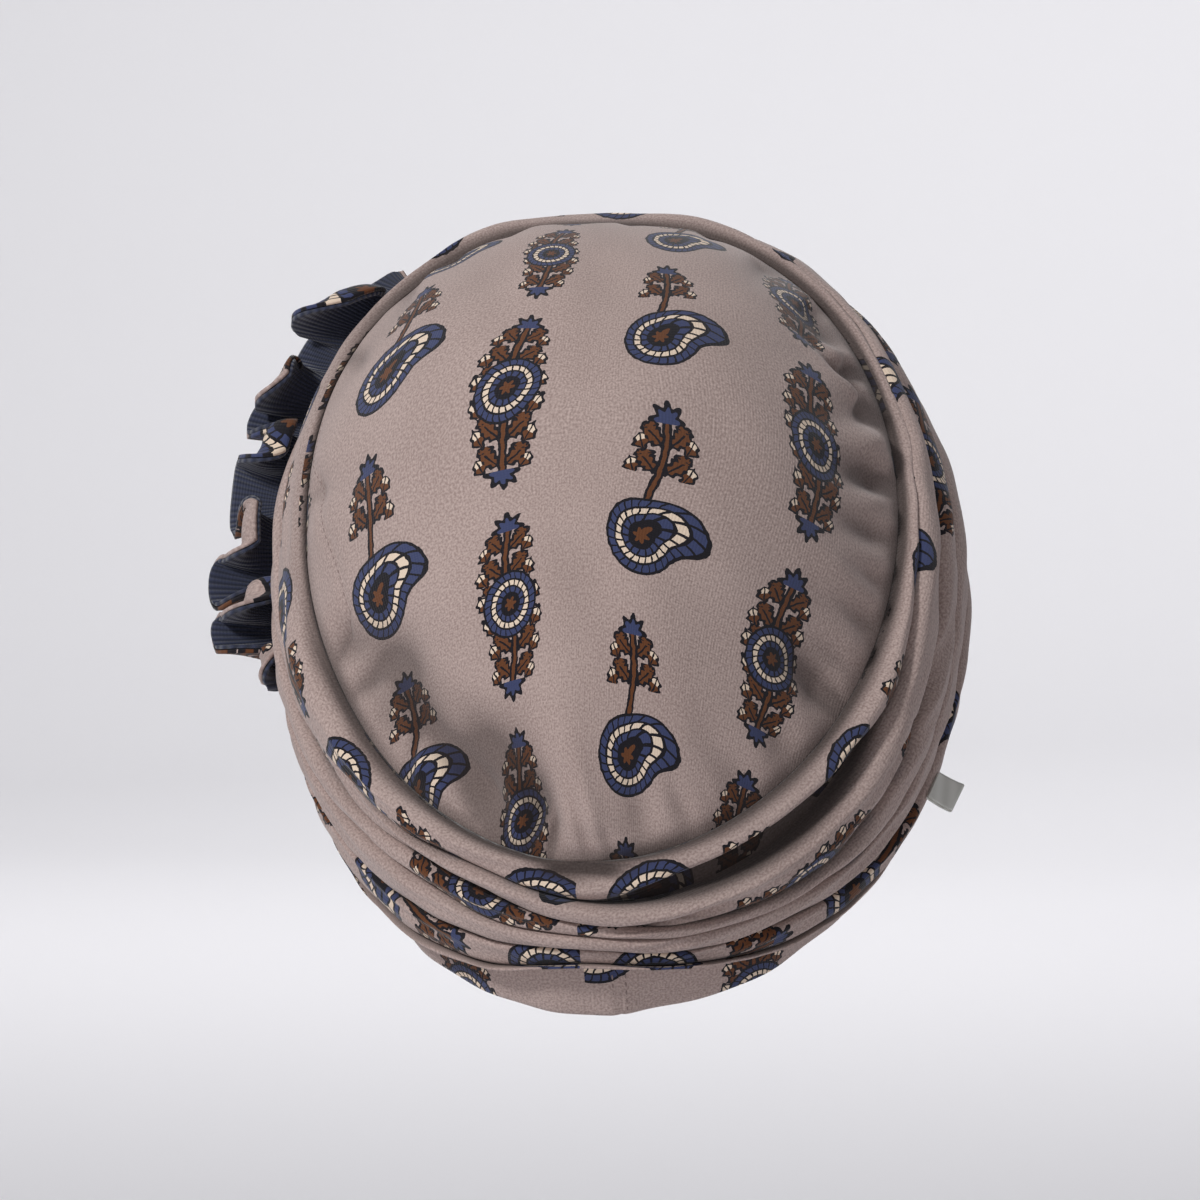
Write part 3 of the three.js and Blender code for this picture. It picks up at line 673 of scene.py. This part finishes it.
def gathered(angle, share, height):  # the wound cloth is drawn in along the frill's root
    start, end = np.radians(frill["rootAngle"])
    along = (angle - start) / (end - start)
    beside = np.maximum(np.maximum(start - angle, angle - end), 0) / math.radians(frill["seatEnd"])
    low, high = frill["rootShare"]
    away = (share - (low + (high - low) * along)) / frill["seatWidth"]
    hold = np.exp(-away ** 2 - beside ** 2)
    return height + (np.minimum(height, frill["seat"]) - height) * hold


def sectionAt(name, t):  # smooth curve through the rows of a fold's section, t from 0 to 1
    rows = np.array(woundCloth[name])
    place = t * (len(rows) - 1)
    i = np.clip(np.floor(place).astype(int), 0, len(rows) - 2)
    before, after = rows[np.maximum(i - 1, 0)], rows[np.minimum(i + 2, len(rows) - 1)]
    return smoothCurve(before, rows[i], rows[i + 1], after, (place - i)[:, None])


def creaseAt(angle, k):  # wanders a little, closed round the head
    wave = np.sin(3 * angle + k) + 0.7 * np.sin(7 * angle + 2.1 * k) + 0.5 * np.sin(11 * angle - k)
    return tableAt(creaseTable, angle, k) + woundCloth["wave"] * wave * (k < 4)


def allCreases(angle):  # from the crown's edge to the band's lower edge
    return [0 * angle] + [creaseAt(angle, k) for k in range(5)]


def pocketDepth(angle, share):
    total = np.zeros_like(share)
    for at, place, depth, wide, long in woundCloth["pockets"]:
        total += depth * np.exp(-(angleGap(angle, at) / wide) ** 2 - ((share - place) / long) ** 4)
    return total


def foldSections(angle, first, last):
    # share, height, hidden cloth and painted shade along the outer line of some folds, for each angle
    v = woundCloth
    t = np.linspace(0, 1, v["perFold"])
    plain, hollow, still = (sectionAt(name, t)[None] for name in ("section", "hollow", "calm"))
    over = near(angle, v["hollowAt"], v["hollowWide"])[:, None]
    beside = besideFrill(angle)[:, None]
    roll = (v["firstLean"] + v["firstUneven"][0] * np.sin(5 * angle + 1)
            + v["firstUneven"][1] * np.sin(9 * angle))[:, None]
    creases = allCreases(angle)
    shares, heights, hidden, shades = [], [], [], []
    for k in range(first, last):
        start, end = creases[k][:, None], creases[k + 1][:, None]
        height = tableAt(foldTable, angle, k)[:, None]
        form = plain
        if k == 0:
            form = (plain * (1 - over - beside)[..., None] + hollow * over[..., None]
                    + still * beside[..., None])
        lean = form[..., 2] * height * v["leanPerMm"]
        lean = lean * roll if k == 0 else lean
        lean = lean * (1 - v["hollowLean"] * over) if k == 1 else lean
        most = (end - start) * v["leanMost"][0] + v["leanMost"][1]
        share = start + (end - start) * form[..., 0] - np.minimum(lean, most)
        risen = height * form[..., 1] - pocketDepth(angle[:, None], share)
        # painted shade: dark low in each crease and up a fold's rising face, more over the hollow, less
        # beside the frill
        second = over * (k == 1)
        rising = (form[..., 0] < v["rising"]) * (v["risingShade"] + v["hollowShade"] * second)
        shaded = 1 - smoothStep(risen / height, v["hollowFrom"] * second + v["shadeFrom"],
                                v["shadeTo"] + rising)
        shares.append(share)
        heights.append(gathered(angle[:, None], share, np.maximum(risen, v["least"])))
        hidden.append(np.full(share.shape, k * v["hidden"]))
        shades.append(shaded * (1 - v["flatShade"] * beside * (k == 0)))
    if last == 5:
        turned = np.array(v["turned"])[None]
        edge = creases[5][:, None] + turned[..., 0]
        shares.append(edge)
        heights.append(cloth["edge"] * turned[..., 1] + 0 * edge)
        hidden.append(np.full(edge.shape, 5 * v["hidden"]))
        shades.append(0 * edge)
    return (np.hstack(table) for table in (shares, heights, hidden, shades))


def ringLength(angle, share):
    return lengthAlong(wall(angle, np.full_like(angle, share), 0))


def closedRing(name, loop, uv, shade):  # a ring of closed loops, one at each angle, as one piece
    n, m = loop.shape[0] - 1, loop.shape[1]
    piece, flat = gridPiece(name, n + 1, m)
    i = np.rint((flat[:, 0] + 1) / 2 * n).astype(int)
    j = np.rint((flat[:, 1] + 1) / 2 * (m - 1)).astype(int)
    shapePiece(piece, loop[i % n, j % (m - 1)], uv[i, j], shade[i % n, j % (m - 1)])
    faceOutward(piece, 1e-7)
    return piece


def makeWrap(name, node, first, last):
    v = woundCloth
    angle = np.linspace(0, turn, v["round"] + 1)
    share, height, hidden, shade = foldSections(angle, first, last)
    around = ringLength(angle, 0.5)[:, None]
    # soft long wrinkles that run with the folds
    down = share * v["wallLength"]
    wrinkle = sum(size * softNoise(around, down, seed, long, wide)
                  for seed, long, wide, size in v["wrinkleWaves"])
    calm = smoothStep(height, 0.0, 2.0) * offNape(angle, v["joinFade"])[:, None] * v["wrinkle"]
    base = cloth["gap"] + cloth["wound"]
    outer = wall(angle[:, None], share, base + height + wrinkle * calm)
    creases = allCreases(angle)
    top, low = creases[first][:, None], creases[last][:, None]
    inside = top + (low - top) * np.linspace(1, 0, v["back"])[None, :]
    inner = wall(angle[:, None], inside, cloth["gap"])
    loop = np.concatenate([outer, inner, outer[:, :1]], axis=1)
    length = lengthAlong(loop)
    length[:, :hidden.shape[1]] += hidden
    length[:, hidden.shape[1]:] += hidden[:, -1:]
    uv = np.stack([length + v["printAt"] + v["printStep"] * first, around + 0 * length], 2)
    # painted shade, full on the inner side of the loop
    shade = np.hstack([shade, np.ones((len(angle), loop.shape[1] - shade.shape[1]))])
    piece = closedRing(name, loop, uv, shade)
    finish(piece, jersey, node)
    return piece


wrapPieces = [makeWrap(*row) for row in woundCloth["pieces"]]
print("wound cloth made")


hemBand = {
    "round": 420, "down": 22, "lastDown": [0.985, 0.995],  # points, and shares of the last two
    "edgeWave": 0.9, "edgeWaveLong": 45,  # mm that the lower edge swings in and out
    "edgeFrom": 0.4, "seamFrom": [0.3, 0.5], "headRadius": 80,  # shares down, mm
    "seamAngle": 6.8, "seamWidth": 0.7,  # degrees round from the nape
    "seamDepth": 0.5,  # mm
    "roundFrom": 0.97, "roundOver": 0.025, "roundBy": 0.5,  # share, share, mm of the lower edge
    "joinFade": 0.2,  # radians either side of the nape where the edge lies still
    "printShift": [20, 22],  # mm
    "underShade": 0.8, "underFade": 0.06,  # painted shadow below the wound cloth's edge
}


def makeHem():
    v = hemBand
    angle = np.linspace(0, turn, v["round"] + 1)
    low = tableAt(creaseTable, angle, 4)[:, None]
    down = np.concatenate([np.linspace(0, v["roundFrom"], v["down"]), v["lastDown"]])[None, :]
    top = low - tuck["hem"]
    share = top + (1 - top) * down
    seam = np.exp(-(angleGap(angle, v["seamAngle"]) / v["seamWidth"]) ** 2)[:, None]
    wave = softNoise(angle * v["headRadius"], 0 * angle, 21, v["edgeWaveLong"], 1e9)
    wave = wave * offNape(angle, v["joinFade"])
    out = (v["edgeWave"] * wave[:, None] * smoothStep(down, v["edgeFrom"], 1.0)
           - v["seamDepth"] * seam * smoothStep(down, *v["seamFrom"]))
    turned = np.maximum(down - v["roundFrom"], 0) / v["roundOver"] * v["roundBy"]
    face = wall(angle[:, None], share, out - turned)
    back = wall(angle[:, None], share[:, ::-1], out[:, ::-1] - cloth["hem"] + turned[:, ::-1])
    tip = wall(angle[:, None], 1 + 0 * low, out[:, -1:] - cloth["hem"] / 2)
    loop = np.concatenate([face, tip, back, face[:, :1]], axis=1)
    length = lengthAlong(loop)
    across, along = v["printShift"]
    uv = np.stack([ringLength(angle, 1.0)[:, None] + across + 0 * length, along - length], 2)
    # painted shadow on the band just below the wound cloth's edge
    under = 1 - smoothStep(share - low, 0.0, v["underFade"])
    shade = np.hstack([under, np.zeros((len(angle), loop.shape[1] - under.shape[1]))])
    piece = closedRing("hemBand", loop, uv, shade * v["underShade"])
    finish(piece, jersey, "hem_band")
    return piece


hemPiece = makeHem()
print("hem band made")


def frillPoint(along, up):
    v = frill
    along, up = np.broadcast_arrays(along, up)
    (start, end), (low, high) = np.radians(v["rootAngle"]), v["rootShare"]
    angle, share = start + along * (end - start), low + (high - low) * along
    root = wall(angle, share, 0)
    run = unit(wall(angle + nudge, share + nudge * (high - low) / (end - start), 0) - root)
    out = outward(angle)
    phase = turn * v["lobes"] * (along + ripple(v["placeRipple"], along))
    uneven = 1 + ripple(v["depthRipple"], along)
    lean = np.radians(v["lean"] + ripple(v["leanRipple"], along))
    lean = lean * (v["rootLean"] + (1 - v["rootLean"]) * up)
    back = unit(np.cross(run, out))
    rise = out * np.cos(lean)[..., None] - back * np.sin(lean)[..., None]
    side = unit(np.cross(run, rise))
    # lobes towards the nape roll over and show their face, the others bend back a little
    lobe = v["curlShare"] - np.sin(phase + v["curlStart"] + ripple(v["startRipple"], along))
    over = v["curl"] * np.clip(lobe, 0, v["curlMost"]) ** v["curlPower"]
    rolled = np.radians(np.where(lobe > 0, over, v["curlBack"] * lobe))
    rolled = rolled * (1 + ripple(v["rollRipple"], along))
    steps = np.linspace(0, 1, v["curlSteps"])  # from the root up to each point
    bend = smoothStep(up[..., None] * steps, v["curlFrom"], v["curlTo"])
    bent = lean[..., None] + rolled[..., None] * bend
    rises = (out * (np.cos(bent).mean(-1) * up)[..., None]
             - back * (np.sin(bent).mean(-1) * up)[..., None])
    ends = np.clip(v["endHeight"] + v["endRise"] * np.minimum(along, 1 - along), 0, 1)
    foot = cloth["gap"] + cloth["wound"] + v["seat"] + v["clear"]
    tall = v["height"] * (1 + ripple(v["heightRipple"], along) - v["lowSide"] * np.sin(phase))
    tall = tall * (1 - v["lowBetween"] * np.cos(phase) ** 2)  # rounds each lobe's free edge
    swing = up * uneven * ends
    return (root + out * foot + rises * (tall * ends)[..., None]
            + side * (v["sway"] * swing * np.sin(phase))[..., None]
            - run * (v["creep"] * swing * np.sin(2 * phase))[..., None])


def makeFrill(name, node, shift, material):
    n, m = frill["along"], frill["up"]
    piece, flat = gridPiece(name, n + 1, m + 1)
    along = (flat[:, 0] + 1) / 2
    up = (flat[:, 1] + 1) / 2
    run = frillPoint(along + nudge, up) - frillPoint(along - nudge, up)
    rise = frillPoint(along, up + nudge) - frillPoint(along, np.maximum(up - nudge, 0))
    normal = unit(np.cross(run, rise))
    points = frillPoint(along, up) + normal * shift
    strip = np.linspace(0, 1, n + 1)
    length = lengthAlong(frillPoint(strip, 0.7))
    uv = np.stack([np.interp(along, strip, length), up * frill["height"]], 1)
    shapePiece(piece, points, uv)
    faceOutward(piece)
    # both plies grow in thickness away from the gap between them
    first = piece.data.polygons[0]
    if np.dot(np.array(first.normal), normal[first.vertices[0]] * shift) < 0:
        piece.data.flip_normals()
    applied(piece, "SOLIDIFY", thickness=frill["ply"] / 1000, offset=1.0)
    finish(piece, material, node)
    return piece


frillFace = makeFrill("frillFace", "ruffle_face", cloth["gap"] / 2, jersey)
frillLining = makeFrill("frillLining", "ruffle_lining", -cloth["gap"] / 2, rib)
print("frill made")

sideLabel = {
    "width": 10.0, "reach": 7.6, "radius": 0.5, "ply": 0.4,  # mm
    "angle": 78.0, "share": 0.7, "droop": 38.0, "out": 7.2,
    "curl": 0.022, "twist": 0.1,
}


def makeLabel():  # bare tape folded in two, its cut ends caught in a crease
    v = sideLabel
    piece, flat = gridPiece("sideLabelTape", 15, 49)
    across, t = flat[:, 0] * v["width"] / 2, (flat[:, 1] + 1) / 2
    straight, bow = v["reach"] - v["radius"], math.pi * v["radius"]
    run = t * (2 * straight + bow)
    bent = np.clip((run - straight) / v["radius"], 0, math.pi)
    x = np.where(run < straight + bow / 2, np.minimum(run, straight),
                 np.minimum(2 * straight + bow - run, straight)) + v["radius"] * np.sin(bent)
    z = v["radius"] * (1 - np.cos(bent)) + v["curl"] * x ** 2 + v["twist"] * x * across / 10
    angle, share = np.array(math.radians(v["angle"])), np.array(v["share"])
    rise = outward(angle)
    along = unit(wall(angle + nudge, share, 0) - wall(angle - nudge, share, 0))
    hemward = np.cross(along, rise)
    out = (rise * math.cos(math.radians(v["droop"])) + hemward * math.sin(math.radians(v["droop"])))
    points = (wall(angle, share, v["out"]) + x[:, None] * out + across[:, None] * along
              + z[:, None] * np.cross(out, along))
    shapePiece(piece, points, np.stack([across, run], 1))
    faceOutward(piece)
    applied(piece, "SOLIDIFY", thickness=v["ply"] / 1000, offset=0.0)
    finish(piece, tape, "side_label")
    return piece


labelPiece = makeLabel()
print("label made")

stitching = {
    "length": 1.7, "pitch": 2.7, "radius": 0.24, "sunk": 0.05,  # mm
    "hemShares": [0.7, 0.985], "hemBeside": 1.3,  # degrees either side of the hem seam
}


def makeStitches(name, rows):  # each row: points and outward directions along a seam
    v = stitching
    bpy.ops.mesh.primitive_uv_sphere_add(segments=8, ring_count=6, radius=0.001)
    piece = bpy.context.object
    piece.name = name
    form = bmesh.new()
    form.from_mesh(piece.data)
    model = list(form.verts) + list(form.edges) + list(form.faces)
    for points, outs in rows:
        gone = lengthAlong(points)
        for place in np.arange(v["pitch"] / 2, gone[-1], v["pitch"]):
            centre, ahead, out = (np.array([np.interp(where, gone, values[:, k]) for k in range(3)])
                                  for where, values in ((place, points), (place + 0.3, points),
                                                        (place, outs)))
            along = unit(ahead - centre)
            side = unit(np.cross(out, along))
            lift = np.cross(along, side)
            copy = bmesh.ops.duplicate(form, geom=model)["geom"]
            for vert in (g for g in copy if isinstance(g, bmesh.types.BMVert)):
                a, b, c = vert.co
                spot = (centre - lift * v["sunk"] + along * a * 1000 * v["length"] / 2
                        + side * b * 1000 * v["radius"] + lift * c * 1000 * v["radius"])
                vert.co = spot / 1000
    bmesh.ops.delete(form, geom=model, context="VERTS")
    form.to_mesh(piece.data)
    form.free()
    finish(piece, thread)


def crownSeamRow():
    seam = np.array(crownPanel["seam"])
    t = np.linspace(0, len(seam) - 1, 120)
    degrees, share = (np.interp(t, range(len(seam)), column) for column in seam.T)
    angle, share = np.radians(degrees), np.minimum(share, 0.99)
    points = dome(angle, share, 0.0)
    around = dome(angle + nudge, share, 0.0) - dome(angle - nudge, share, 0.0)
    down = dome(angle, share + nudge, 0.0) - dome(angle, share - nudge, 0.0)
    outs = unit(np.cross(down, around))
    return points, outs * np.sign((outs * (points - ringCentre)).sum(1))[:, None]


def hemSeamRow(degrees):
    share = np.linspace(*stitching["hemShares"], 30)
    angle = 0 * share + math.radians(degrees)
    return wall(angle, share, 0.0), outward(angle)


makeStitches("crownSeamStitches", [crownSeamRow()])
makeStitches("hemSeamStitches", [hemSeamRow(hemBand["seamAngle"] + k * stitching["hemBeside"])
                                 for k in (-1, 1)])
print("seams stitched")

studio = {
    "azimuth": 187.0, "elevation": 4.46, "distance": 2.4, "target": (0.006, 0.0085, 0.056),
    "lens": 266.0, "floor": -0.33, "paper": "#E6E5E8", "air": "#E8E8EC", "airStrength": 0.26,
    "width": 26.0, "front": 12.0, "bend": -2.8, "radius": 1.6, "rise": 7.0,  # paper, metres
    "lights": [  # name, place, aimed at, size, watts
        ("key", (1.35, 2.1, 1.55), (0, 0, 0.05), 0.4, 43),
        ("fill", (-2.1, 1.7, 0.5), (0, 0, 0.05), 1.6, 2.4),
        ("top", (0.5, -0.3, 2.3), (0, 0, 0.05), 1.2, 10),
        ("front", (0.6, -2.6, 1.0), (0, 0, 0.05), 1.6, 10),
        ("paper", (0, -0.9, 3.2), (0, -4.0, 0.1), 2.0, 27)],
    "paperSpread": 80.0,  # degrees
}


def makePaper():  # a pale sheet that runs along the floor and curves up behind
    s = studio
    bpy.ops.mesh.primitive_grid_add(x_subdivisions=2, y_subdivisions=80, size=2)
    paper = bpy.context.object
    paper.name = "studioPaper"
    arc = s["radius"] * math.pi / 2
    long = s["front"] - s["bend"] + arc + s["rise"]
    for point in paper.data.vertices:
        run = (1 - point.co.y) / 2 * long - (s["front"] - s["bend"])
        turned = min(max(run / s["radius"], 0), math.pi / 2)
        back = s["bend"] - run if run < 0 else s["bend"] - s["radius"] * math.sin(turned)
        high = s["radius"] * (1 - math.cos(turned)) + max(run - arc, 0)
        point.co = (point.co.x * s["width"] / 2, back, s["floor"] + high)
    material, tree = newMaterial("mattStudioPaper")
    closeMaterial(tree, {"Base Color": linear(s["paper"]), "Roughness": 0.95,
                         "Specular IOR Level": 0.0})
    paper.data.materials.append(material)
    paper.data.shade_smooth()


def makeStudio():
    s = studio
    a, e = math.radians(s["azimuth"]), math.radians(s["elevation"])
    away = (math.sin(a) * math.cos(e), -math.cos(a) * math.cos(e), math.sin(e))
    camera = bpy.data.objects.new("camera", bpy.data.cameras.new("camera"))
    scene.collection.objects.link(camera)
    camera.location = [t + s["distance"] * d for t, d in zip(s["target"], away)]
    camera.rotation_euler = (math.pi / 2 - e, 0, a)
    camera.data.lens = s["lens"]
    camera.data.clip_end = 200
    scene.camera = camera
    makePaper()
    for name, place, aim, size, watts in s["lights"]:
        data = bpy.data.lights.new(name, "AREA")
        data.energy = watts
        data.size = size
        data.spread = math.radians(s["paperSpread"] if name == "paper" else 180)
        lamp = bpy.data.objects.new(name, data)
        scene.collection.objects.link(lamp)
        lamp.location = place
        x, y, z = (p - t for p, t in zip(place, aim))
        lamp.rotation_euler = (math.atan2(math.hypot(x, y), z), 0, math.atan2(x, -y))
    world = bpy.data.worlds.new("studioAir")
    world.use_nodes = True
    scene.world = world
    air = world.node_tree.nodes["Background"].inputs
    air[0].default_value = linear(s["air"])
    air[1].default_value = s["airStrength"]
    scene.view_settings.view_transform = "Standard"


makeStudio()
print("studio set")


for piece in [crownCloth, *wrapPieces, hemPiece, frillFace, frillLining]:
    half = sum(face.area for face in piece.data.polygons) / 2  # one side of the cloth
    print(piece.name, "half surface", round(half, 4), "m2,", len(piece.data.polygons), "faces")
